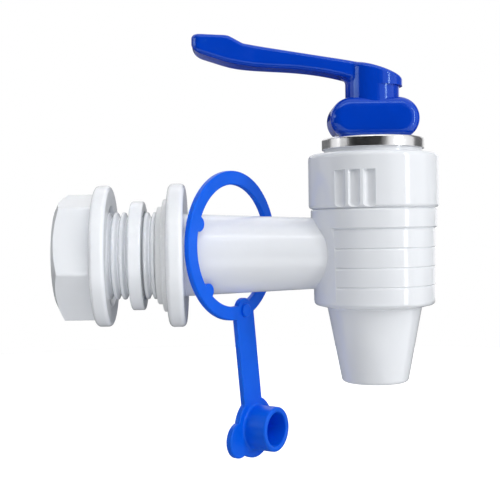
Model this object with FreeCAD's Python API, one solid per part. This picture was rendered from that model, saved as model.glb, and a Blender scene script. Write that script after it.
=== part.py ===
import FreeCAD, Part
import math
import os

# Water purifier tap, in millimetres.
# The origin is the centre of the sealing flange's wall-side face, on the shank's axis.
# +X runs along the shank towards the spout body, +Z is up, and the front faces -Y.

V = FreeCAD.Vector
along_x = V(1, 0, 0)
along_y = V(0, 1, 0)
up = V(0, 0, 1)

# Threaded shank through the tank wall
crest_r = 10.35
thread_pitch = 1.814
thread_depth = 1.16
crest_width = 0.6
crest_round = 0.24
root_gap = 0.24
first_crest = -3.3
shank_length = 24.4
shank_end_chamfer = 0.6
plain_shank_r = 10.28
water_bore_r = 6.0

# Sealing flange and the tube to the spout body
flange_r = 17.0
flange_thickness = 3.9
flange_rim_round = 1.1
tube_root_r = 9.75
tube_body_r = 8.5
tube_length = 30.0

# Spout body
axis_x = 48.7
body_top = 10.35
band_pitch = 4.45
band_count = 5
band_top_length = 4.7
top_band_r = 14.95
second_band_r = 14.5
last_band_r = 14.3
band_groove_depth = 0.2
band_edge_drop = 0.35
band_edge_round = 0.8
band_foot_rise = 0.15
band_foot_round = 0.15
top_band_foot_rise = 0.4
pad_half_angle = 44.0
pad_side_angle = 3.0
pad_relief = 0.05
pad_slope_length = 2.2
body_corner_round = 1.0
body_top_round = 0.5
body_bottom = -12.2
nozzle_top_r = 11.2
nozzle_top = -12.95
nozzle_top_round = 0.3
nozzle_tip_r = 7.8
nozzle_tip = -30.7
nozzle_tip_round = 0.9
outlet_r = 5.5
outlet_chamfer = 0.35
outlet_bore_length = 17.7
seat_passage_r = 4.0
seat_lip_width = 1.0
seat_lip_height = 1.2
chamber_r = 11.6
chamber_floor = -8.4

# Bonnet
seam_gap = 0.2
bonnet_r = 15.4
bonnet_height = 12.8
bonnet_top_round = 1.2
bonnet_foot_round = 0.8
shoulder_width = 3.0
skirt_clearance = 0.1
skirt_length = 4.2
skirt_wall = 2.9
bonnet_roof = 2.55
boss_r = 5.4
boss_length = 7.0
neck_r = 11.6
neck_height = 2.6
neck_root_round = 0.3
flute_count = 3
flute_width = 2.9
flute_depth = 0.9
flute_pitch_angle = 13.0
flute_first_angle = 11.0
flute_foot_gap = 0.3
flute_length = 8.25
flute_groups = 2

# Chrome cap under the lever
cap_r = 12.1
cap_skirt_length = 1.5
cap_plate = 0.6
cap_rim_height = 0.55
cap_rim_width = 1.0
cap_rim_round = 0.6
cap_rim_inner_round = 0.25
cap_seat_round = 0.2
cap_foot_round = 0.15
cap_fit = 0.05
cap_hole_gap = 0.4

# Lever, one moulding: cam block, post and arm
cam_end_r = 4.9
cam_half_flat = 5.56
cam_depth = 13.6
cam_edge_round = 2.4
post_r = 6.37
head_shift = 0.75
arm_tip_x = 6.0
arm_tip_height = 50.3
lip_top = 41.35
lip_height = 2.05
arm_depth = 5.0
# The arm's outline in side view. A point is its share of the way from the tip to the lip and its height
# off the straight line between them as a share of the arm's depth. On top it has the corner's round too,
# and the first and last points there lie just past the arm's ends.
arm_top = (
    (-0.02, 0.265, 0), (0.171, 0.5, 3.5), (0.241, 0.245, 3.5), (0.813, 0.316, 60.0), (1.02, -0.034, 0),
)
arm_underside = (
    (0.0, -0.2), (0.0221, -0.49), (0.0723, -0.62), (0.173, -0.755), (0.32, -0.715),
    (0.4538, -0.565), (0.6403, -0.47), (0.75, -0.55),
)
arm_half_width = 4.2
tip_half_width = 5.0
tip_corner_round = 2.2
tip_flare_start = 10.0
tip_flare_end = 16.0
tip_flare_round = 20.0
arm_edge_round = 1.05
arm_root_round = 1.5
lever_travel = 25.0

# Pin through the stem's eye
pin_r = 1.0
pin_fit = 0.05
pin_length = 11.4

# Stem, its rings, its seal and its spring
stem_r = 3.0
gland_fit = 0.05
tang_thickness = 3.2
slot_side_gap = 0.2
eye_round_r = 2.95
slot_gap = 0.35
shoulder_gap = 0.5
stem_flange_r = 6.0
stem_flange_thickness = 1.6
spigot_r = 3.6
spigot_height = 1.0
seal_r = 6.3
seal_thickness = 2.6
seal_edge_round = 0.4
barb_neck_r = 1.5
barb_head_r = 2.1
barb_head_length = 1.2
barb_gap = 0.1
barb_taper = 0.8
stem_ring_section_r = 0.5
stem_ring_side_gap = 0.2
lower_ring_height = 1.9
stem_ring_pitch = 2.7
spring_mean_r = 4.4
spring_wire_r = 0.4
spring_turns = 7
slip_washer_r = 5.2
slip_washer_thickness = 0.8
slip_washer_gap = 0.3

# Ring that seals the bonnet in the chamber
bonnet_ring_section_r = 0.8
bonnet_ring_drop = 1.75
bonnet_ring_side_gap = 0.2
ring_seat_gap = 0.02

# Gasket, washer and nut on the shank
gasket_thickness = 2.7
gasket_step = 1.3
gasket_outer_r = 13.4
gasket_inner_r = 11.6
gasket_fit = 0.1
gasket_lip_round = 0.35
gasket_root_round = 0.2
gasket_rim_round = 0.4
washer_place = -8.8
washer_thickness = 3.0
washer_r = 12.9
washer_fit = 0.25
washer_round = 0.45
nut_place = -26.1
nut_hex_length = 9.0
nut_flats = 27.0
nut_end_r = 11.9
nut_end_slope = 26.0
nut_corner_round = 1.0
nut_turn = 13.5
nut_disc_inset = 0.3
nut_disc_thickness = 3.5
nut_rim_round = 0.9
nut_face_round = 0.9
nut_fit = 0.1
nut_sink_r = 12.0
nut_sink_depth = 1.2

# Dust plug on its leash, one soft moulding
leash_turn = 54.7
leash_thickness = 1.5
leash_seat_gap = 0.2
leash_height = 2.1
leash_edge_round = 0.35
ring_outer_r = 17.8
ring_inner_r = 14.5
nub_r = 1.8
nub_angles = (45.0, 111.0)
strap_head_angle = -76.0
strap_angle = -80.0
strap_width = 7.25
strap_length = 45.3
strap_head_r = 3.0
button_r = 1.65
button_height = 0.6
button_round = 0.3
plate_r = 7.45
plug_fit = 0.075
plug_reach = 6.9
plug_wall = 1.375
plug_root_width = 0.9
plug_root_sink = 0.4
plug_root_round = 0.6
plug_lip_round = 0.5
ear_r = 4.3
ear_distance = 6.8
ear_angle = 199.0

# Heights and places that follow from the sizes above
flange_end = flange_thickness
bonnet_base = body_top + seam_gap
bonnet_top = bonnet_base + bonnet_height
neck_top = bonnet_top + neck_height
cap_seat = neck_top + cap_plate
cap_top = cap_seat + cap_rim_height
pin_height = cap_seat + cam_end_r
cam_top = pin_height + cam_end_r
cavity_top = bonnet_top - bonnet_roof
boss_foot = cavity_top - boss_length
seat_top = chamber_floor + seat_lip_height
stem_flange_base = seat_top + seal_thickness
spring_base = stem_flange_base + stem_flange_thickness
spring_top = boss_foot - slip_washer_thickness
gland_r = stem_r + gland_fit
lift = cam_half_flat * math.radians(lever_travel)
tang_base = cap_seat - lift - shoulder_gap
lip_x = axis_x + head_shift + post_r
lip_bottom = lip_top - lip_height
nut_disc_r = flange_r - nut_disc_inset
plug_r = outlet_r - plug_fit
overrun = 1.0
tolerance = 1e-3


def rounded_wire(corners):
    """Closed outline in the XZ plane. A corner is (x, z) or (x, z, radius of its round)."""
    count = len(corners)
    ends = []
    for i in range(count):
        here = V(corners[i][0], 0, corners[i][1])
        before = V(corners[i - 1][0], 0, corners[i - 1][1])
        after = V(corners[(i + 1) % count][0], 0, corners[(i + 1) % count][1])
        radius = corners[i][2] if len(corners[i]) > 2 else 0
        if radius == 0:
            ends.append((here, None, here))
            continue
        back = (before - here).normalize()
        ahead = (after - here).normalize()
        half = back.getAngle(ahead) / 2
        run = radius / math.tan(half)
        middle = (back + ahead).normalize() * (radius / math.sin(half) - radius)
        ends.append((here + back * run, here + middle, here + ahead * run))
    edges = []
    for i in range(count):
        start, middle, end = ends[i]
        if middle is not None:
            edges.append(Part.Arc(start, middle, end).toShape())
        following = ends[(i + 1) % count][0]
        if end.distanceToPoint(following) > tolerance:
            edges.append(Part.LineSegment(end, following).toShape())
    return Part.Wire(edges)


def turned_on_body(corners):
    """Solid turned about the spout body's axis. A corner is (radius, z) with an optional round."""
    face = Part.Face(rounded_wire(corners))
    face.translate(V(axis_x, 0, 0))
    return face.revolve(V(axis_x, 0, 0), up, 360)


def turned_on_shank(corners):
    """Solid turned about the shank's axis. A corner is (x, radius) with an optional round."""
    return Part.Face(rounded_wire(corners)).revolve(V(0, 0, 0), along_x, 360)


def ring_on_body(outer, inner, base, top):
    return turned_on_body([(inner, base), (outer, base), (outer, top), (inner, top)])


def save(shape, node):
    shape = shape.removeSplitter()
    solids = shape.Solids
    whole = solids[0] if len(solids) == 1 else Part.Compound(solids)
    whole.exportStep("parts/" + node + ".step")
    print(node, "solids", len(solids), "valid", whole.isValid(), "volume", round(whole.Volume, 2))


def threaded_shank():
    """Shank with one rounded ridge for each turn of the thread, plain under the gasket."""
    root = crest_r - thread_depth
    end = -shank_length
    base_half = (thread_pitch - root_gap) / 2
    crest_half = crest_width / 2
    ridges = int((shank_length + first_crest - base_half) / thread_pitch) + 1
    corners = [(end, 0), (end, root - shank_end_chamfer), (end + shank_end_chamfer / 2, root)]
    for index in reversed(range(ridges)):
        middle = first_crest - thread_pitch * index
        corners.append((middle - base_half, root))
        corners.append((middle - crest_half, crest_r, crest_round))
        corners.append((middle + crest_half, crest_r, crest_round))
        corners.append((middle + base_half, root))
    plain = first_crest + base_half + root_gap
    corners += [(plain, root), (plain, plain_shank_r), (overrun, plain_shank_r), (overrun, 0)]
    return turned_on_shank(corners)


def band_radius(index):
    """Outer radius of a band of the body, counted from the top."""
    if index == 0:
        return top_band_r
    share = (index - 1) / max(band_count - 2, 1)
    return second_band_r + (last_band_r - second_band_r) * share


def band_step(index):
    """Height of the step under a band."""
    return body_top - band_top_length - band_pitch * index


def body_barrel():
    """Banded barrel and nozzle, with the smooth pad where the tube comes in."""
    corners = [(0, nozzle_tip), (nozzle_tip_r, nozzle_tip, nozzle_tip_round)]
    corners.append((nozzle_top_r, nozzle_top, nozzle_top_round))
    corners.append((last_band_r, body_bottom, body_corner_round))
    for index in reversed(range(band_count - 1)):
        step = band_step(index)
        outer = band_radius(index + 1)
        rise = band_foot_rise if index else top_band_foot_rise
        corners.append((outer, step - band_edge_drop, band_edge_round))
        corners.append((outer - band_groove_depth, step))
        corners.append((band_radius(index), step + rise, band_foot_round))
    corners.append((top_band_r, body_top, body_top_round))
    corners.append((0, body_top))
    return turned_on_body(corners).fuse(tube_pad())


def tube_pad():
    """Smooth field over the bands on the tube's side, its upright edges slanting into them."""
    base = body_bottom + body_corner_round
    top = body_top - body_top_round
    step = band_step(0)
    face = Part.Face(rounded_wire([
        (0, base),
        (last_band_r + pad_relief, base),
        (second_band_r + pad_relief, step - pad_slope_length),
        (top_band_r + pad_relief, step + top_band_foot_rise),
        (top_band_r - pad_relief, top),
        (0, top),
    ]))
    face.translate(V(axis_x, 0, 0))
    face.rotate(V(axis_x, 0, 0), up, 180 - pad_half_angle - pad_side_angle)
    field = face.revolve(V(axis_x, 0, 0), up, 2 * (pad_half_angle + pad_side_angle))
    outer = pad_corner(top_band_r, pad_half_angle - pad_side_angle)
    inner = pad_corner(last_band_r - band_groove_depth, pad_half_angle + pad_side_angle)
    slant = (outer - inner).normalize() * bonnet_r / 2
    spots = [inner - slant, outer + slant]
    spots += [V(spot.x, -spot.y, 0) for spot in reversed(spots)]
    prism = Part.Face(Part.makePolygon(spots + spots[:1])).extrude(up * (top - base))
    prism.translate(up * base)
    return field.common(prism)


def pad_corner(radius, angle):
    """Point at a radius about the body's axis and an angle from the tube's side."""
    turn = math.radians(angle)
    return V(axis_x - radius * math.cos(turn), radius * math.sin(turn), 0)


def valve_body():
    """One moulding: threaded shank, sealing flange, tube, banded body and outlet nozzle."""
    end = -shank_length
    flange = turned_on_shank([
        (0, 0),
        (0, flange_r, flange_rim_round),
        (flange_end, flange_r, flange_rim_round),
        (flange_end, 0),
    ])
    slope = (tube_body_r - tube_root_r) / tube_length
    reach = axis_x - flange_end
    tube = Part.makeCone(tube_root_r, tube_root_r + slope * reach, reach, V(flange_end, 0, 0), along_x)
    solid = threaded_shank().fuse([flange, tube, body_barrel()])
    void = turned_on_body([
        (0, nozzle_tip - overrun),
        (outlet_r + outlet_chamfer + overrun, nozzle_tip - overrun),
        (outlet_r, nozzle_tip + outlet_chamfer),
        (outlet_r, nozzle_tip + outlet_bore_length),
        (seat_passage_r, nozzle_tip + outlet_bore_length + outlet_r - seat_passage_r),
        (seat_passage_r, seat_top),
        (seat_passage_r + seat_lip_width, seat_top),
        (seat_passage_r + seat_lip_width, chamber_floor),
        (chamber_r, chamber_floor),
        (chamber_r, body_top + overrun),
        (0, body_top + overrun),
    ])
    inlet = Part.makeCylinder(water_bore_r, axis_x - end + overrun, V(end - overrun, 0, 0), along_x)
    return solid.cut(void).cut(inlet)


def bonnet():
    """Upper drum with the stem's gland, a skirt into the chamber and fluted grips."""
    skirt_r = chamber_r - skirt_clearance
    cavity_r = skirt_r - skirt_wall
    ring_mid = body_top - bonnet_ring_drop
    half = bonnet_ring_section_r + bonnet_ring_side_gap
    groove_r = chamber_r - 2 * bonnet_ring_section_r - 2 * ring_seat_gap
    drum = turned_on_body([
        (gland_r, boss_foot),
        (boss_r, boss_foot),
        (boss_r, cavity_top),
        (cavity_r, cavity_top),
        (cavity_r, body_top - skirt_length),
        (skirt_r, body_top - skirt_length),
        (skirt_r, ring_mid - half),
        (groove_r, ring_mid - half),
        (groove_r, ring_mid + half),
        (skirt_r, ring_mid + half),
        (skirt_r, body_top),
        (skirt_r + shoulder_width, body_top),
        (skirt_r + shoulder_width, bonnet_base),
        (bonnet_r, bonnet_base, bonnet_foot_round),
        (bonnet_r, bonnet_top, bonnet_top_round),
        (neck_r, bonnet_top, neck_root_round),
        (neck_r, neck_top),
        (gland_r, neck_top),
    ])
    for group in range(flute_groups):
        for index in range(flute_count):
            angle = flute_first_angle + flute_pitch_angle * index + 360 / flute_groups * group
            drum = drum.cut(flute(angle))
    return drum


def flute(angle):
    """Cutter for one upright flute, flat at its top and round at its foot, its angle from -Y to -X."""
    radius = (flute_width ** 2 / 4 + flute_depth ** 2) / (2 * flute_depth)
    distance = bonnet_r + radius - flute_depth
    turn = math.radians(angle)
    spot = V(axis_x - distance * math.sin(turn), -distance * math.cos(turn), 0)
    low = spot + up * (bonnet_base + flute_foot_gap + flute_depth)
    return Part.makeCylinder(radius, flute_length - flute_depth, low, up).fuse(Part.makeSphere(radius, low))


def chrome_cap():
    """Pressed metal cap over the bonnet's neck, with a shallow dished seat for the cam."""
    inner = neck_r + cap_fit
    hole = stem_r + cap_hole_gap
    rim_inner = cap_r - cap_rim_width
    return turned_on_body([
        (hole, neck_top),
        (inner, neck_top),
        (inner, neck_top - cap_skirt_length),
        (cap_r, neck_top - cap_skirt_length, cap_foot_round),
        (cap_r, cap_top, cap_rim_round),
        (rim_inner, cap_top, cap_rim_inner_round),
        (rim_inner, cap_seat, cap_seat_round),
        (hole, cap_seat),
    ])


def stem():
    """Valve stem: barb for the seal, flange and spigot for the spring, rod, and flat eye."""
    ring_half = stem_ring_section_r + stem_ring_side_gap
    groove_r = gland_r - ring_seat_gap - 2 * stem_ring_section_r
    neck_base = seat_top - barb_gap
    corners = [(0, neck_base - barb_head_length), (barb_neck_r, neck_base - barb_head_length)]
    corners += [(barb_head_r, neck_base - barb_head_length + barb_taper)]
    corners += [(barb_head_r, neck_base), (barb_neck_r, neck_base)]
    corners += [(barb_neck_r, stem_flange_base), (stem_flange_r, stem_flange_base)]
    corners += [(stem_flange_r, spring_base), (spigot_r, spring_base)]
    corners += [(spigot_r, spring_base + spigot_height), (stem_r, spring_base + spigot_height)]
    for index in range(2):
        middle = stem_ring_place(index)
        corners += [(stem_r, middle - ring_half), (groove_r, middle - ring_half)]
        corners += [(groove_r, middle + ring_half), (stem_r, middle + ring_half)]
    corners += [(stem_r, pin_height), (0, pin_height)]
    rod = turned_on_body(corners)
    half = tang_thickness / 2
    eye = Part.makeCylinder(eye_round_r, tang_thickness, V(axis_x, -half, pin_height), along_y)
    rod = rod.fuse(eye)
    for side in (-1, 1):
        corner = V(axis_x - 2 * stem_r, half if side > 0 else -half - 2 * stem_r, tang_base)
        rod = rod.cut(Part.makeBox(4 * stem_r, 2 * stem_r, pin_height, corner))
    hole = Part.makeCylinder(pin_r + pin_fit, 2 * cam_depth, V(axis_x, -cam_depth, pin_height), along_y)
    return rod.cut(hole)


def stem_ring_place(index):
    return boss_foot + lower_ring_height + stem_ring_pitch * index


def stem_ring(index):
    major = gland_r - ring_seat_gap - stem_ring_section_r
    return Part.makeTorus(major, stem_ring_section_r, V(axis_x, 0, stem_ring_place(index)), up)


def bonnet_ring():
    major = chamber_r - bonnet_ring_section_r - ring_seat_gap
    return Part.makeTorus(major, bonnet_ring_section_r, V(axis_x, 0, body_top - bonnet_ring_drop), up)


def seat_seal():
    """Soft disc on the stem's barb that closes on the seat lip."""
    return turned_on_body([
        (barb_neck_r, seat_top),
        (seal_r, seat_top, seal_edge_round),
        (seal_r, stem_flange_base, seal_edge_round),
        (barb_neck_r, stem_flange_base),
    ])


def spring():
    rise = spring_top - spring_base - 2 * spring_wire_r
    helix = Part.makeHelix(rise / spring_turns, rise, spring_mean_r)
    wire = Part.Wire(Part.Circle(V(spring_mean_r, 0, 0), along_y, spring_wire_r).toShape())
    coil = Part.Wire(helix).makePipeShell([wire], True, True)
    coil.translate(V(axis_x, 0, spring_base + spring_wire_r))
    return coil


def slip_washer():
    return ring_on_body(slip_washer_r, stem_r + slip_washer_gap, spring_top, boss_foot)


def lever_pin():
    start = V(axis_x, cam_depth / 2 - pin_length, pin_height)
    return Part.makeCylinder(pin_r, pin_length, start, along_y)


def extruded(wire, depth):
    """Prism of an XZ outline, centred on the middle plane."""
    face = Part.Face(wire)
    face.translate(V(0, -depth / 2, 0))
    return face.extrude(V(0, depth, 0))


def spline(points):
    curve = Part.BSplineCurve()
    curve.interpolate(points)
    return curve.toShape()


def arm_point(share, height):
    """Place of a point of the arm's outline in side view, as (x, z)."""
    run = share * (lip_x - arm_tip_x)
    fall = share * (lip_top - arm_tip_height)
    return arm_tip_x + run, arm_tip_height + fall + height * arm_depth


def under_arm_top():
    """All that lies under the arm's top: raised thumb pad at the tip, then a long falling back."""
    corners = [(*arm_point(share, height), radius) for share, height, radius in arm_top]
    corners += [(corners[-1][0], pin_height), (corners[0][0], pin_height)]
    return extruded(rounded_wire(corners), 2 * cam_depth)


def arm_bar():
    """Bar from the wider thumb pad into the post, with a shaped underside and rounded lower edges."""
    ceiling = 2 * arm_tip_height
    side = [
        (axis_x, arm_half_width),
        (arm_tip_x + tip_flare_end, arm_half_width, tip_flare_round),
        (arm_tip_x + tip_flare_start, tip_half_width, tip_flare_round),
        (arm_tip_x, tip_half_width, tip_corner_round),
    ]
    mirrored = [(corner[0], -corner[1], *corner[2:]) for corner in reversed(side)]
    outline = rounded_wire(side + mirrored)
    outline.rotate(V(0, 0, 0), along_x, 90)
    bar = Part.Face(outline).extrude(up * ceiling).cut(under_arm())
    low_edges = []
    for edge in bar.Edges:
        box = edge.BoundBox
        crosswise = box.XLength < tolerance and box.XMin > arm_tip_x + tip_corner_round
        if box.ZMax < ceiling - overrun and box.XMin < axis_x - post_r and not crosswise:
            low_edges.append(edge)
    return bar.makeFillet(arm_edge_round, low_edges)


def under_arm():
    """What is cut away under the arm."""
    points = [V(x, 0, z) for x, z in (arm_point(*spot) for spot in arm_underside)]
    inner = V(axis_x + overrun, 0, points[-1].z)
    outer = V(arm_tip_x - overrun, 0, points[0].z)
    floor = [V(inner.x, 0, -overrun), V(outer.x, 0, -overrun)]
    edges = [spline(points)]
    for start, end in zip([points[-1], inner, *floor, outer], [inner, *floor, outer, points[0]]):
        edges.append(Part.LineSegment(start, end).toShape())
    return extruded(Part.Wire(edges), 2 * cam_depth)


def arm_head():
    """Round head over the post, which stands out past it as a lip on the side away from the arm."""
    head_x = axis_x + head_shift
    sides = [V(axis_x, -post_r, 0), V(head_x, -post_r, 0), V(head_x, post_r, 0), V(axis_x, post_r, 0)]
    outline = Part.Wire([
        Part.LineSegment(sides[0], sides[1]).toShape(),
        Part.Arc(sides[1], V(head_x + post_r, 0, 0), sides[2]).toShape(),
        Part.LineSegment(sides[2], sides[3]).toShape(),
        Part.Arc(sides[3], V(axis_x - post_r, 0, 0), sides[0]).toShape(),
    ])
    outline.translate(up * lip_bottom)
    return Part.Face(outline).extrude(up * arm_tip_height)


def post_and_arm():
    """Post, head and arm in one, blended where the arm leaves the post and rounded along the top."""
    post = Part.makeCylinder(post_r, lip_bottom - pin_height, V(axis_x, 0, pin_height), up)
    solid = post.fuse([arm_head(), arm_bar()]).common(under_arm_top()).removeSplitter()
    solid = solid.makeFillet(arm_root_round, [edge for edge in solid.Edges if at_arm_root(edge)])
    return solid.makeFillet(arm_edge_round, top_rim(solid))


def at_arm_root(edge):
    """Whether an edge of the post and arm runs where the arm meets the post's round."""
    for share in (0.1, 0.5, 0.9):
        spot = edge.valueAt(edge.FirstParameter + share * (edge.LastParameter - edge.FirstParameter))
        on_round = abs(math.hypot(spot.x - axis_x, spot.y) - post_r) < tolerance
        if not on_round or spot.x > axis_x or abs(spot.y) > arm_half_width + tolerance:
            return False
    return edge.BoundBox.ZMax > lip_bottom


def top_rim(solid):
    """Edges round the arm's top, without those between two of its faces."""
    edges = []
    for face in solid.Faces:
        u_min, u_max, v_min, v_max = face.ParameterRange
        normal = face.normalAt((u_min + u_max) / 2, (v_min + v_max) / 2)
        if abs(normal.y) < tolerance and normal.z > 0.5:
            edges += face.Edges
    return [edge for edge in edges if sum(edge.isSame(other) for other in edges) == 1]


def cam_block():
    half = cam_half_flat + cam_end_r
    outline = rounded_wire([
        (axis_x - half, cap_seat, cam_end_r),
        (axis_x + half, cap_seat, cam_end_r),
        (axis_x + half, cam_top, cam_end_r),
        (axis_x - half, cam_top, cam_end_r),
    ])
    block = extruded(outline, cam_depth)
    faces = [face for face in block.Faces if abs(face.normalAt(0, 0).y) > 0.9]
    edges = [edge for face in faces for edge in face.Edges]
    return block.makeFillet(cam_edge_round, edges)


def stem_slot():
    """Room for the stem's eye, wide enough at its mouth for the whole travel of the lever."""
    travel = math.radians(lever_travel)
    wide = stem_r / math.cos(travel) + slot_gap
    mouth = wide + (cam_end_r + overrun) * math.tan(travel)
    depth = tang_thickness + 2 * slot_side_gap
    fan = extruded(rounded_wire([
        (axis_x - wide, pin_height),
        (axis_x - mouth, cap_seat - overrun),
        (axis_x + mouth, cap_seat - overrun),
        (axis_x + wide, pin_height),
    ]), depth)
    place = V(axis_x, -depth / 2, pin_height)
    return fan.fuse(Part.makeCylinder(stem_r + slot_gap, depth, place, along_y))


def lever():
    solid = cam_block().fuse(post_and_arm())
    return solid.cut(stem_slot()).cut(lever_pin())


def shank_gasket():
    inner = crest_r + gasket_fit
    return turned_on_shank([
        (-gasket_thickness, inner),
        (-gasket_thickness, gasket_inner_r, gasket_lip_round),
        (-gasket_step, gasket_inner_r, gasket_root_round),
        (-gasket_step, gasket_outer_r, gasket_rim_round),
        (0, gasket_outer_r, gasket_root_round),
        (0, inner),
    ])


def shank_washer():
    inner = crest_r + washer_fit
    far = washer_place + washer_thickness
    return turned_on_shank([
        (washer_place, inner),
        (washer_place, washer_r, washer_round),
        (far, washer_r, washer_round),
        (far, inner),
    ])


def back_nut():
    """Hex nut with a wide round pressure disc."""
    hex_end = nut_place + nut_hex_length
    disc_end = hex_end + nut_disc_thickness
    corner_r = nut_flats / 2 / math.cos(math.pi / 6)
    turns = [math.pi / 3 * index for index in range(6)]
    outline = rounded_wire([
        (corner_r * math.cos(turn), corner_r * math.sin(turn), nut_corner_round) for turn in turns
    ])
    outline.rotate(V(0, 0, 0), up, 90)
    outline.rotate(V(0, 0, 0), along_x, nut_turn)
    outline.translate(V(nut_place, 0, 0))
    prism = Part.Face(outline).extrude(V(nut_hex_length + overrun, 0, 0))
    outer = corner_r + overrun
    slope = math.tan(math.radians(nut_end_slope))
    prism = prism.common(turned_on_shank([
        (nut_place, 0),
        (nut_place, nut_end_r),
        (nut_place + (outer - nut_end_r) * slope, outer),
        (hex_end + overrun, outer),
        (hex_end + overrun, 0),
    ]))
    disc = turned_on_shank([
        (hex_end, 0),
        (hex_end, nut_disc_r, nut_rim_round),
        (disc_end, nut_disc_r, nut_face_round),
        (disc_end, 0),
    ])
    bore_r = crest_r + nut_fit
    bore = turned_on_shank([
        (nut_place - overrun, 0),
        (nut_place - overrun, bore_r),
        (disc_end - nut_sink_depth, bore_r),
        (disc_end, nut_sink_r),
        (disc_end + overrun, nut_sink_r),
        (disc_end + overrun, 0),
    ])
    return prism.fuse(disc).cut(bore)


def dust_plug_leash():
    """Made flat in the XY plane with the plug towards +Z, then turned upright into place."""
    head = leash_point((ring_outer_r + ring_inner_r) / 2, strap_head_angle)
    plug = leash_point(strap_length, strap_angle)
    ear = plug + leash_point(ear_distance, ear_angle)
    parts = [disc(strap_head_r, head), disc(plate_r, plug), disc(ear_r, ear)]
    for angle in nub_angles:
        for side in (-1, 1):
            parts.append(disc(nub_r, leash_point(ring_inner_r, angle * side - 90)))
    parts.append(strip(head, plug, strap_width))
    cup = plug_cup()
    cup.translate(plug)
    knob = button()
    knob.translate(head)
    ring = leash_band(ring_inner_r, ring_outer_r)
    return set_on_tube(ring.fuse(parts + [cup, knob]))


def leash_point(distance, angle):
    """Point of the flat leash at a distance from the ring's centre and an angle from +X."""
    turn = math.radians(angle)
    return V(math.cos(turn), math.sin(turn), 0) * distance


def leash_band(inner, outer):
    """Flat ring of the leash's thickness with softened edges. An inner radius of 0 makes a disc."""
    half = leash_thickness / 2
    inner_round = leash_edge_round if inner > 0 else 0
    face = Part.Face(rounded_wire([
        (inner, -half, inner_round),
        (outer, -half, leash_edge_round),
        (outer, half, leash_edge_round),
        (inner, half, inner_round),
    ]))
    return face.revolve(V(0, 0, 0), up, 360)


def disc(radius, spot):
    flat = leash_band(0, radius)
    flat.translate(spot)
    return flat


def strip(start, end, width):
    """Flat stretch of the strap between two points."""
    half = leash_thickness / 2
    section = Part.Face(rounded_wire([
        (-width / 2, -half, leash_edge_round),
        (width / 2, -half, leash_edge_round),
        (width / 2, half, leash_edge_round),
        (-width / 2, half, leash_edge_round),
    ]))
    run = end - start
    piece = section.extrude(V(0, run.Length, 0))
    piece.rotate(V(0, 0, 0), up, math.degrees(math.atan2(run.y, run.x)) - 90)
    piece.translate(start)
    return piece


def plug_cup():
    """Open cup that closes the outlet, with a soft root and lip."""
    floor = leash_thickness / 2
    inner = plug_r - plug_wall
    face = Part.Face(rounded_wire([
        (0, -floor + plug_root_sink),
        (plug_r + plug_root_width, -floor + plug_root_sink),
        (plug_r + plug_root_width, floor),
        (plug_r, floor, plug_root_round),
        (plug_r, plug_reach, plug_lip_round),
        (inner, plug_reach, plug_lip_round),
        (inner, floor, plug_root_round),
        (0, floor),
    ]))
    return face.revolve(V(0, 0, 0), up, 360)


def button():
    top = leash_thickness / 2 + button_height
    face = Part.Face(rounded_wire([(0, 0), (button_r, 0), (button_r, top, button_round), (0, top)]))
    return face.revolve(V(0, 0, 0), up, 360)


def set_on_tube(flat):
    """Stands the flat moulding upright round the tube, its rim leaning at the flange."""
    turn = math.radians(leash_turn)
    run = ring_outer_r * math.cos(turn) + leash_thickness / 2 * math.sin(turn)
    centre = V(flange_end + leash_seat_gap + run, 0, leash_height)
    across = V(math.cos(turn), math.sin(turn), 0)
    facing = across.cross(up)
    matrix = FreeCAD.Matrix(
        across.x, up.x, facing.x, centre.x,
        across.y, up.y, facing.y, centre.y,
        across.z, up.z, facing.z, centre.z,
        0, 0, 0, 1,
    )
    flat.Placement = FreeCAD.Placement(matrix)
    return flat


os.makedirs("parts", exist_ok=True)
save(valve_body(), "valve_body")
save(back_nut(), "back_nut")
save(shank_washer(), "shank_washer")
save(shank_gasket(), "shank_gasket")
save(bonnet(), "bonnet")
save(bonnet_ring(), "bonnet_o_ring")
save(chrome_cap(), "chrome_cap")
save(stem(), "stem")
save(stem_ring(0), "stem_o_ring_lower")
save(stem_ring(1), "stem_o_ring_upper")
save(seat_seal(), "seat_seal")
save(spring(), "spring")
save(slip_washer(), "slip_washer")
save(lever(), "lever")
save(lever_pin(), "lever_pin")
save(dust_plug_leash(), "dust_plug_leash")
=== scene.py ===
import math

import bpy
from bpy.props import FloatProperty, FloatVectorProperty, PointerProperty
from bpy.types import Operator, Panel, PropertyGroup
from mathutils import Matrix, Vector


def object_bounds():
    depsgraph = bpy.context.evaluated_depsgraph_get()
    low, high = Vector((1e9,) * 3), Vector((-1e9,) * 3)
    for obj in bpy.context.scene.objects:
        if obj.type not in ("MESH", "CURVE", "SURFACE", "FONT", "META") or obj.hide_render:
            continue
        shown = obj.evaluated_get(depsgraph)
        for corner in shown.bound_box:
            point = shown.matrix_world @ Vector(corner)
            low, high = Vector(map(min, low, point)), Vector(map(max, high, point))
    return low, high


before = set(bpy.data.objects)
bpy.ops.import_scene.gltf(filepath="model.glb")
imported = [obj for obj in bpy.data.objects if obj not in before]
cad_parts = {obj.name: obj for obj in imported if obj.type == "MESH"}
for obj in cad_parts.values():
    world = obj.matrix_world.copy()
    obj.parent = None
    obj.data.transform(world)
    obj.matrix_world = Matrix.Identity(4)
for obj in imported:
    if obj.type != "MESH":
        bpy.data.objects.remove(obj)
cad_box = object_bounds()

bl_info = {
    "name": "Water purifier tap",
    "version": (1, 0, 0),
    "blender": (4, 5, 0),
    "location": "3D View > Sidebar > Tap",
    "description": "Finishes for a lever tap with a dust plug, and a plain studio round it",
    "category": "Object",
}

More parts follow.
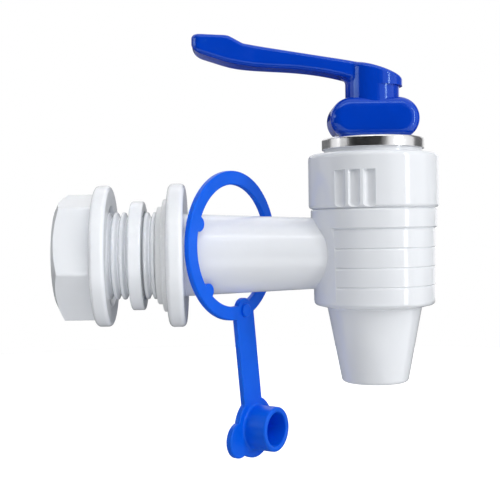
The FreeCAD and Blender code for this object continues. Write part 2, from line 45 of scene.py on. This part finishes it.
MM = 0.001
TAP_MIDDLE = (cad_box[0] + cad_box[1]) / 2
LAMP_DISTANCE = 0.5
FLAG_LIFT = 3 * MM
FLOOR_GLOW = 0.6
WORLD_LIGHT = 0.3
WORLD_TINT = (0.96, 0.975, 1.0, 1.0)
WHITE = (1.0, 1.0, 1.0, 1.0)
BLUE_GLEAM = (0.55, 0.85, 1.0, 1.0)
SILICONE = (0.76, 0.775, 0.79, 1.0)
RUBBER = (0.02, 0.02, 0.021, 1.0)
CHROME = (0.78, 0.78, 0.79, 1.0)
STEEL = (0.55, 0.55, 0.56, 1.0)
NATURAL_PLASTIC = (0.72, 0.72, 0.68, 1.0)
PAPER = (0.8, 0.8, 0.8, 1.0)
# Upright flags: name, left and right azimuth in degrees, distance, lower and upper edge in metres, shade
UPRIGHT_FLAGS = (
    ("flag_front", -85, 16, 0.7, -0.5, 0.6, 0.02),
    ("flag_front_right", 16, 27, 0.7, -0.5, 0.6, 0.4),
    ("flag_back_right", 95, 136, 0.7, -0.05, 0.6, 0.25),
    ("flag_low_right", 95, 136, 0.7, -0.4, -0.05, 0.03),
    ("flag_back_left", -195, -115, 0.7, -0.05, 0.1, 0.45),
    ("flag_high_left", -195, -115, 0.7, 0.1, 0.6, 0.03),
    ("flag_low_left", -195, -85, 0.7, -0.4, -0.05, 0.03),
    ("flag_low_back", 136, 200, 1.5, -0.6, -0.12, 0.03),
)


class TapPlastics(PropertyGroup):
    """Colours and gloss of the moulded plastic pieces."""

    white: FloatVectorProperty(
        name="White plastic",
        description="Colour of the body, bonnet, nut and washer",
        subtype="COLOR",
        size=4,
        min=0.0,
        max=1.0,
        default=(0.81, 0.832, 0.865, 1.0),
    )
    blue: FloatVectorProperty(
        name="Blue plastic",
        description="Colour of the lever",
        subtype="COLOR",
        size=4,
        min=0.0,
        max=1.0,
        default=(0.0, 0.048, 0.53, 1.0),
    )
    soft_blue: FloatVectorProperty(
        name="Soft blue plastic",
        description="Colour of the dust plug, its strap and its ring",
        subtype="COLOR",
        size=4,
        min=0.0,
        max=1.0,
        default=(0.0, 0.115, 0.8, 1.0),
    )
    gloss: FloatProperty(
        name="Roughness of the gloss",
        description="Roughness of the glossy mouldings, from mirror to dull",
        subtype="FACTOR",
        min=0.0,
        max=1.0,
        default=0.14,
    )


class TapStage(PropertyGroup):
    """Camera, floor and light."""

    floor_drop: FloatProperty(
        name="Floor below the tap",
        description="Distance from the tap's lowest point down to the floor",
        subtype="DISTANCE",
        min=0.0,
        default=25 * MM,
    )
    floor_radius: FloatProperty(
        name="Floor radius",
        description="Radius of the round floor",
        subtype="DISTANCE",
        min=0.1,
        default=0.45,
    )
    camera_place: FloatVectorProperty(
        name="Camera place",
        description="Where the camera stands",
        subtype="TRANSLATION",
        default=(16.05 * MM, -238.1 * MM, 5.83 * MM),
    )
    camera_aim: FloatVectorProperty(
        name="Camera aim",
        description="Point that the camera looks at",
        subtype="TRANSLATION",
        default=(19.14 * MM, 0.0, 1.0 * MM),
    )
    camera_roll: FloatProperty(
        name="Camera roll",
        description="Turn of the camera about its own line of sight",
        subtype="ANGLE",
        default=math.radians(-0.8),
    )
    camera_lens: FloatProperty(
        name="Camera lens",
        description="Focal length in millimetres on a 36 mm sensor",
        min=10.0,
        default=72.0,
    )
    light: FloatProperty(
        name="Light",
        description="Factor on every lamp and on the surround's light",
        min=0.0,
        default=1.0,
    )


def new_finish(name):
    """Empty material with one Principled shader, as (material, node tree, shader)."""
    material = bpy.data.materials.new(name)
    material.use_nodes = True
    tree = material.node_tree
    tree.nodes.clear()
    shader = tree.nodes.new("ShaderNodeBsdfPrincipled")
    output = tree.nodes.new("ShaderNodeOutputMaterial")
    tree.links.new(shader.outputs["BSDF"], output.inputs["Surface"])
    return material, tree, shader


def grain(tree, features_per_metre, detail=2.0, stretch=(1.0, 1.0, 1.0)):
    """Noise over the piece's own coordinates, which are the tap's, in metres."""
    coordinates = tree.nodes.new("ShaderNodeTexCoord")
    mapping = tree.nodes.new("ShaderNodeMapping")
    mapping.inputs["Scale"].default_value = stretch
    noise = tree.nodes.new("ShaderNodeTexNoise")
    noise.inputs["Scale"].default_value = features_per_metre
    noise.inputs["Detail"].default_value = detail
    tree.links.new(coordinates.outputs["Object"], mapping.inputs["Vector"])
    tree.links.new(mapping.outputs["Vector"], noise.inputs["Vector"])
    return noise.outputs["Fac"]


def vary_roughness(tree, shader, pattern, low, high):
    """Spreads the pattern's usual values, from 0.3 to 0.7, over the roughness from low to high."""
    spread = tree.nodes.new("ShaderNodeMapRange")
    spread.inputs["From Min"].default_value = 0.3
    spread.inputs["From Max"].default_value = 0.7
    spread.inputs["To Min"].default_value = low
    spread.inputs["To Max"].default_value = high
    tree.links.new(pattern, spread.inputs["Value"])
    tree.links.new(spread.outputs["Result"], shader.inputs["Roughness"])


def vary_colour(tree, shader, pattern, colour, darker):
    """Runs from a slightly darker colour to the full one over the pattern's middle values."""
    ramp = tree.nodes.new("ShaderNodeValToRGB")
    ramp.color_ramp.elements[0].position = 0.35
    ramp.color_ramp.elements[1].position = 0.65
    ramp.color_ramp.elements[0].color = [value * darker for value in colour[:3]] + [1.0]
    ramp.color_ramp.elements[1].color = list(colour)
    tree.links.new(pattern, ramp.inputs["Fac"])
    tree.links.new(ramp.outputs["Color"], shader.inputs["Base Color"])


def relief(tree, shader, pattern, height):
    """Fine bump of the given height in metres."""
    bump = tree.nodes.new("ShaderNodeBump")
    bump.inputs["Distance"].default_value = height
    bump.inputs["Strength"].default_value = 1.0
    tree.links.new(pattern, bump.inputs["Height"])
    tree.links.new(bump.outputs["Normal"], shader.inputs["Normal"])


def white_plastic(plastics):
    """Glossy moulded plastic with a faint orange peel and a little light passing through."""
    material, tree, shader = new_finish("white_plastic")
    vary_colour(tree, shader, grain(tree, 90.0), plastics.white, 0.985)
    sheen = grain(tree, 400.0, detail=4.0)
    vary_roughness(tree, shader, sheen, plastics.gloss * 0.85, plastics.gloss * 1.25)
    relief(tree, shader, grain(tree, 700.0, detail=3.0), 0.006 * MM)
    shader.inputs["Subsurface Weight"].default_value = 0.15
    shader.inputs["Subsurface Radius"].default_value = (1.0, 0.95, 0.9)
    shader.inputs["Subsurface Scale"].default_value = 1.0 * MM
    return material


def blue_plastic(plastics):
    """Glossy coloured moulding."""
    material, tree, shader = new_finish("blue_plastic")
    vary_colour(tree, shader, grain(tree, 120.0), plastics.blue, 0.93)
    sheen = grain(tree, 350.0, detail=4.0)
    vary_roughness(tree, shader, sheen, plastics.gloss * 0.7, plastics.gloss * 1.1)
    relief(tree, shader, grain(tree, 450.0, detail=2.0), 0.008 * MM)
    shader.inputs["Specular Tint"].default_value = BLUE_GLEAM
    return material


def soft_blue_plastic(plastics):
    """Soft, satin moulding of the dust plug and its leash."""
    material, tree, shader = new_finish("soft_blue_plastic")
    vary_colour(tree, shader, grain(tree, 150.0), plastics.soft_blue, 0.93)
    vary_roughness(tree, shader, grain(tree, 500.0, detail=4.0), 0.3, 0.42)
    relief(tree, shader, grain(tree, 1200.0, detail=3.0), 0.01 * MM)
    shader.inputs["Specular IOR Level"].default_value = 0.35
    shader.inputs["Specular Tint"].default_value = BLUE_GLEAM
    shader.inputs["Subsurface Weight"].default_value = 0.1
    shader.inputs["Subsurface Radius"].default_value = (0.1, 0.3, 1.0)
    shader.inputs["Subsurface Scale"].default_value = 0.8 * MM
    return material


def clear_silicone():
    """Milky rubber that lets some light through."""
    material, tree, shader = new_finish("clear_silicone")
    vary_colour(tree, shader, grain(tree, 200.0), SILICONE, 0.97)
    vary_roughness(tree, shader, grain(tree, 600.0, detail=4.0), 0.3, 0.45)
    relief(tree, shader, grain(tree, 900.0, detail=3.0), 0.015 * MM)
    shader.inputs["Subsurface Weight"].default_value = 0.4
    shader.inputs["Subsurface Radius"].default_value = (1.0, 0.98, 0.93)
    shader.inputs["Subsurface Scale"].default_value = 2.0 * MM
    return material


def black_rubber():
    """Smooth black rubber of the sealing rings."""
    material, tree, shader = new_finish("black_rubber")
    vary_colour(tree, shader, grain(tree, 300.0), RUBBER, 0.7)
    vary_roughness(tree, shader, grain(tree, 800.0, detail=4.0), 0.45, 0.6)
    relief(tree, shader, grain(tree, 2500.0, detail=3.0), 0.01 * MM)
    return material


def polished_chrome():
    """Bright plated metal with faint turning marks round the cap."""
    material, tree, shader = new_finish("polished_chrome")
    shader.inputs["Metallic"].default_value = 1.0
    vary_colour(tree, shader, grain(tree, 250.0), CHROME, 0.97)
    vary_roughness(tree, shader, grain(tree, 500.0, detail=4.0), 0.19, 0.25)
    relief(tree, shader, grain(tree, 60.0, stretch=(1.0, 1.0, 40.0)), 0.003 * MM)
    return material


def drawn_steel():
    """Drawn stainless wire and pin."""
    material, tree, shader = new_finish("drawn_steel")
    shader.inputs["Metallic"].default_value = 1.0
    vary_colour(tree, shader, grain(tree, 400.0), STEEL, 0.9)
    vary_roughness(tree, shader, grain(tree, 900.0, detail=4.0), 0.22, 0.35)
    relief(tree, shader, grain(tree, 3000.0, detail=2.0), 0.005 * MM)
    return material


def stem_plastic():
    """Plain natural plastic of the inner moving pieces."""
    material, tree, shader = new_finish("stem_plastic")
    vary_colour(tree, shader, grain(tree, 150.0), NATURAL_PLASTIC, 0.95)
    vary_roughness(tree, shader, grain(tree, 600.0, detail=4.0), 0.35, 0.5)
    relief(tree, shader, grain(tree, 900.0, detail=3.0), 0.01 * MM)
    return material


def dress(node, material):
    """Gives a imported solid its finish."""
    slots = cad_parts[node].data.materials
    slots.clear()
    slots.append(material)


class TapOperator(Operator):
    """Shared settings of the tap's operators."""

    bl_options = {"REGISTER", "UNDO"}


class TAP_OT_white_mouldings(TapOperator):
    """Finish the body, bonnet, back nut and washer in glossy white plastic"""

    bl_idname = "tap.white_mouldings"
    bl_label = "White mouldings"

    def execute(self, context):
        material = white_plastic(context.scene.tap_plastics)
        for node in ("valve_body", "bonnet", "back_nut", "shank_washer"):
            dress(node, material)
        return {"FINISHED"}


class TAP_OT_lever(TapOperator):
    """Finish the lever in glossy blue plastic and its pin in steel"""

    bl_idname = "tap.lever"
    bl_label = "Lever and pin"

    def execute(self, context):
        dress("lever", blue_plastic(context.scene.tap_plastics))
        dress("lever_pin", drawn_steel())
        return {"FINISHED"}


class TAP_OT_leash(TapOperator):
    """Finish the dust plug and its leash in soft blue plastic"""

    bl_idname = "tap.leash"
    bl_label = "Dust plug and leash"

    def execute(self, context):
        dress("dust_plug_leash", soft_blue_plastic(context.scene.tap_plastics))
        return {"FINISHED"}


class TAP_OT_seals(TapOperator):
    """Finish the gasket and seat seal in silicone and the rings in black rubber"""

    bl_idname = "tap.seals"
    bl_label = "Seals"

    def execute(self, context):
        silicone = clear_silicone()
        rubber = black_rubber()
        for node in ("shank_gasket", "seat_seal"):
            dress(node, silicone)
        for node in ("bonnet_o_ring", "stem_o_ring_lower", "stem_o_ring_upper"):
            dress(node, rubber)
        return {"FINISHED"}


class TAP_OT_chrome_cap(TapOperator):
    """Finish the cap under the lever in polished chrome"""

    bl_idname = "tap.chrome_cap"
    bl_label = "Chrome cap"

    def execute(self, context):
        dress("chrome_cap", polished_chrome())
        return {"FINISHED"}


class TAP_OT_valve_works(TapOperator):
    """Finish the stem, slip washer and spring inside the bonnet"""

    bl_idname = "tap.valve_works"
    bl_label = "Stem and spring"

    def execute(self, context):
        plain = stem_plastic()
        for node in ("stem", "slip_washer"):
            dress(node, plain)
        dress("spring", drawn_steel())
        return {"FINISHED"}


def make_camera(stage):
    """Camera at the stage's place, turned to its aim and rolled."""
    camera = bpy.data.cameras.new("camera")
    camera.lens = stage.camera_lens
    camera.clip_start = 0.01
    camera.clip_end = 10.0
    holder = bpy.data.objects.new("camera", camera)
    bpy.context.scene.collection.objects.link(holder)
    place = Vector(stage.camera_place)
    line = Vector(stage.camera_aim) - place
    turn = line.to_track_quat("-Z", "Y").to_matrix() @ Matrix.Rotation(stage.camera_roll, 3, "Z")
    holder.matrix_world = Matrix.Translation(place) @ turn.to_4x4()
    bpy.context.scene.camera = holder


def softbox(name, azimuth, elevation, width, height, radiance, diffuse=True, glossy=True, shift=0.0):
    """Rectangular lamp LAMP_DISTANCE away from the tap's middle, or from a spot shifted along X. Angles are
    in degrees, azimuth 0 is the front and 90 the right. Diffuse off leaves only its reflection, and glossy
    off only its light."""
    turn = math.radians(azimuth)
    rise = math.radians(elevation)
    line = Vector((math.sin(turn) * math.cos(rise), -math.cos(turn) * math.cos(rise), math.sin(rise)))
    lamp = bpy.data.lights.new(name, "AREA")
    lamp.shape = "RECTANGLE"
    lamp.size = width
    lamp.size_y = height
    lamp.energy = radiance * math.pi * width * height
    holder = bpy.data.objects.new(name, lamp)
    bpy.context.scene.collection.objects.link(holder)
    place = Matrix.Translation(TAP_MIDDLE + Vector((shift, 0, 0)) + line * LAMP_DISTANCE)
    holder.matrix_world = place @ line.to_track_quat("Z", "Y").to_matrix().to_4x4()
    holder.visible_camera = False
    holder.visible_diffuse = diffuse
    holder.visible_glossy = glossy
    return lamp


def make_lamps(stage):
    """Some lamps only light the tap, and others show in its gloss too."""
    share = stage.light
    softbox("strip_right", 55, 2, 0.04, 0.55, 12.0 * share)
    softbox("box_left", -78, 16, 0.24, 0.1, 2.8 * share, diffuse=False)
    softbox("box_front", 30, 35, 0.6, 0.35, 1.6 * share, glossy=False)
    softbox("box_side", 100, 5, 0.4, 0.3, 0.9 * share, glossy=False)
    softbox("box_back_left", -140, 5, 0.5, 0.4, 1.5 * share, glossy=False)
    softbox("box_top", 0, 80, 0.5, 0.3, 0.8 * share, glossy=False)
    softbox("strip_top", 0, 56, 0.5, 0.05, 4.0 * share)
    softbox("box_back", 200, 35, 0.5, 0.4, 1.0 * share)
    beam = softbox("beam_on_nut", 0, 14, 0.04, 0.08, 0.25 * share, glossy=False, shift=-30 * MM)
    beam.spread = math.radians(8)


def make_world(stage):
    """White to the camera, in reflections and through clear things, soft grey as light."""
    world = bpy.data.worlds.new("studio")
    bpy.context.scene.world = world
    world.use_nodes = True
    tree = world.node_tree
    tree.nodes.clear()
    soft = tree.nodes.new("ShaderNodeBackground")
    soft.inputs["Color"].default_value = WORLD_TINT
    soft.inputs["Strength"].default_value = WORLD_LIGHT * stage.light
    white = tree.nodes.new("ShaderNodeBackground")
    white.inputs["Color"].default_value = WHITE
    white.inputs["Strength"].default_value = 1.0
    mix = tree.nodes.new("ShaderNodeMixShader")
    output = tree.nodes.new("ShaderNodeOutputWorld")
    tree.links.new(seen_directly(tree), mix.inputs["Fac"])
    tree.links.new(soft.outputs["Background"], mix.inputs[1])
    tree.links.new(white.outputs["Background"], mix.inputs[2])
    tree.links.new(mix.outputs["Shader"], output.inputs["Surface"])


def seen_directly(tree):
    """1 for rays from the camera, off a glossy surface or through a clear one, and 0 for the rest."""
    path = tree.nodes.new("ShaderNodeLightPath")
    first = tree.nodes.new("ShaderNodeMath")
    first.operation = "MAXIMUM"
    second = tree.nodes.new("ShaderNodeMath")
    second.operation = "MAXIMUM"
    tree.links.new(path.outputs["Is Camera Ray"], first.inputs[0])
    tree.links.new(path.outputs["Is Glossy Ray"], first.inputs[1])
    tree.links.new(first.outputs["Value"], second.inputs[0])
    tree.links.new(path.outputs["Is Transmission Ray"], second.inputs[1])
    return second.outputs["Value"]


def cloth(shade):
    """Cloth of a flag, from black at 0 to white at 1."""
    material, tree, shader = new_finish("flag_cloth")
    vary_colour(tree, shader, grain(tree, 20.0), (shade, shade, shade, 1.0), 0.9)
    vary_roughness(tree, shader, grain(tree, 200.0), 0.9, 1.0)
    relief(tree, shader, grain(tree, 600.0), 0.05 * MM)
    shader.inputs["Specular IOR Level"].default_value = 0.0
    return material


def flag(name, left, right, low, high, shade):
    """Curved cloth between two azimuths in degrees, seen only in reflections. Its lower and upper edges are
    given as (distance from the tap's middle, height above it) in metres."""
    columns = 12
    points = []
    for index in range(columns + 1):
        turn = math.radians(left + (right - left) * index / columns)
        for distance, height in (low, high):
            offset = (math.sin(turn) * distance, -math.cos(turn) * distance, height)
            points.append(TAP_MIDDLE + Vector(offset))
    faces = [(2 * index, 2 * index + 2, 2 * index + 3, 2 * index + 1) for index in range(columns)]
    mesh = bpy.data.meshes.new(name)
    mesh.from_pydata(points, [], faces)
    panel = bpy.data.objects.new(name, mesh)
    bpy.context.scene.collection.objects.link(panel)
    mesh.materials.append(cloth(shade))
    panel.visible_camera = False
    panel.visible_diffuse = False
    panel.visible_transmission = False
    panel.visible_shadow = False


def make_flags(stage):
    """Flags with white gaps between them, so that gloss keeps its depth and still shows the surround."""
    for name, left, right, distance, low, high, shade in UPRIGHT_FLAGS:
        flag(name, left, right, (distance, low), (distance, high), shade)
    floor = cad_box[0].z - stage.floor_drop + FLAG_LIFT - TAP_MIDDLE.z
    hub = (0.005, floor)
    ring = (0.1, floor)
    edge = (0.46, floor)
    flag("flag_floor_middle", 0, 360, hub, ring, 0.05)
    flag("flag_floor_back", 100, 260, ring, edge, 0.03)


def floor_finish():
    """Pale paper that shows as white to the camera and keeps the shadow."""
    material, tree, shader = new_finish("floor_paper")
    vary_colour(tree, shader, grain(tree, 30.0), PAPER, 0.99)
    vary_roughness(tree, shader, grain(tree, 200.0), 0.75, 0.9)
    relief(tree, shader, grain(tree, 900.0), 0.05 * MM)
    glow = tree.nodes.new("ShaderNodeMath")
    glow.operation = "MULTIPLY"
    glow.inputs[1].default_value = FLOOR_GLOW
    tree.links.new(seen_directly(tree), glow.inputs[0])
    tree.links.new(glow.outputs["Value"], shader.inputs["Emission Strength"])
    shader.inputs["Emission Color"].default_value = WHITE
    return material


def make_floor(stage):
    """Round paper floor under the tap."""
    rim_points = 96
    level = cad_box[0].z - stage.floor_drop
    rim = []
    for index in range(rim_points):
        turn = 2 * math.pi * index / rim_points
        x = TAP_MIDDLE.x + stage.floor_radius * math.cos(turn)
        y = TAP_MIDDLE.y + stage.floor_radius * math.sin(turn)
        rim.append((x, y, level))
    mesh = bpy.data.meshes.new("floor")
    mesh.from_pydata(rim, [], [range(rim_points)])
    floor = bpy.data.objects.new("floor", mesh)
    bpy.context.scene.collection.objects.link(floor)
    floor.data.materials.append(floor_finish())


class TAP_OT_stage(TapOperator):
    """Set the camera, the lamps, the white surround, the dark flags and the floor"""

    bl_idname = "tap.stage"
    bl_label = "Stage"

    def execute(self, context):
        stage = context.scene.tap_stage
        context.scene.view_settings.view_transform = "Standard"
        make_camera(stage)
        make_lamps(stage)
        make_world(stage)
        make_flags(stage)
        make_floor(stage)
        return {"FINISHED"}


class TAP_PT_panel(Panel):
    """Lists the tap's settings and the operators that make it"""

    bl_idname = "TAP_PT_panel"
    bl_label = "Water purifier tap"
    bl_space_type = "VIEW_3D"
    bl_region_type = "UI"
    bl_category = "Tap"

    def draw(self, context):
        plastics = context.scene.tap_plastics
        stage = context.scene.tap_stage
        for name in ("white", "blue", "soft_blue", "gloss"):
            self.layout.prop(plastics, name)
        for name in ("floor_drop", "floor_radius", "light"):
            self.layout.prop(stage, name)
        for name in ("camera_place", "camera_aim", "camera_roll", "camera_lens"):
            self.layout.prop(stage, name)
        for operator in OPERATORS:
            self.layout.operator(operator.bl_idname)


OPERATORS = (
    TAP_OT_stage,
    TAP_OT_white_mouldings,
    TAP_OT_lever,
    TAP_OT_leash,
    TAP_OT_seals,
    TAP_OT_chrome_cap,
    TAP_OT_valve_works,
)
CLASSES = (TapPlastics, TapStage, *OPERATORS, TAP_PT_panel)


def register():
    for cls in CLASSES:
        bpy.utils.register_class(cls)
    bpy.types.Scene.tap_plastics = PointerProperty(type=TapPlastics)
    bpy.types.Scene.tap_stage = PointerProperty(type=TapStage)


def unregister():
    del bpy.types.Scene.tap_stage
    del bpy.types.Scene.tap_plastics
    for cls in reversed(CLASSES):
        bpy.utils.unregister_class(cls)


def main():
    register()
    bpy.ops.tap.stage()
    bpy.ops.tap.white_mouldings()
    bpy.ops.tap.lever()
    bpy.ops.tap.leash()
    bpy.ops.tap.seals()
    bpy.ops.tap.chrome_cap()
    bpy.ops.tap.valve_works()


if __name__ == "__main__":
    main()
